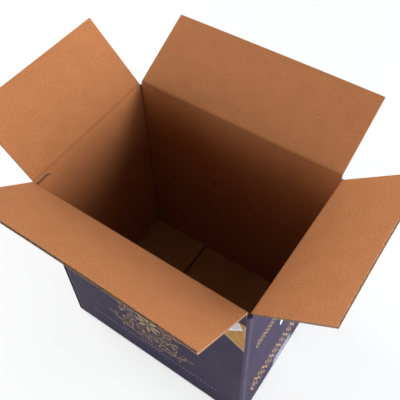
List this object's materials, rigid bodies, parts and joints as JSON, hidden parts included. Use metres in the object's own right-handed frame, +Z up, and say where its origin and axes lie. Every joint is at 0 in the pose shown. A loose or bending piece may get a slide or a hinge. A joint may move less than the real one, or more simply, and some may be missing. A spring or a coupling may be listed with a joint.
{
  "type": "cardboard box",
  "caption": "Tall slotted carton of corrugated board with its hinged top flaps open, taped along the bottom seam.",
  "frame": {"origin": "on the ground under the middle of the carton's walls, on the underside of the tape", "axes": "+Z up; +X along the long walls, towards the right wall; +Y from the front wall to the back wall"},
  "size_m": [0.4486, 0.3801, 0.3985],
  "materials": {
    "board": "matte kraft inside, dark blue print outside",
    "tape": "clear and glossy",
    "label": "satin"
  },
  "bodies": {
    "box": {"carton": "board", "bottom_tape": "tape", "side_label": "label"},
    "front_flap": {"front_flap": "board"},
    "back_flap": {"back_flap": "board"},
    "left_flap": {"left_flap": "board"},
    "right_flap": {"right_flap": "board"}
  },
  "joints": [
    {"name": "front_flap_crease", "type": "hinge", "parent": "box", "child": "front_flap", "pos_m": [0, -0.104, 0.3234], "axis": [-1, 0, 0], "range_deg": [-124.5, 140.5]},
    {"name": "back_flap_crease", "type": "hinge", "parent": "box", "child": "back_flap", "pos_m": [0, 0.104, 0.3234], "axis": [1, 0, 0], "range_deg": [-112, 153]},
    {"name": "left_flap_crease", "type": "hinge", "parent": "box", "child": "left_flap", "pos_m": [-0.15, 0, 0.3202], "axis": [0, 1, 0], "range_deg": [-132.5, 132.5]},
    {"name": "right_flap_crease", "type": "hinge", "parent": "box", "child": "right_flap", "pos_m": [0.15, 0, 0.3202], "axis": [0, -1, 0], "range_deg": [-125.5, 139.5]}
  ]
}
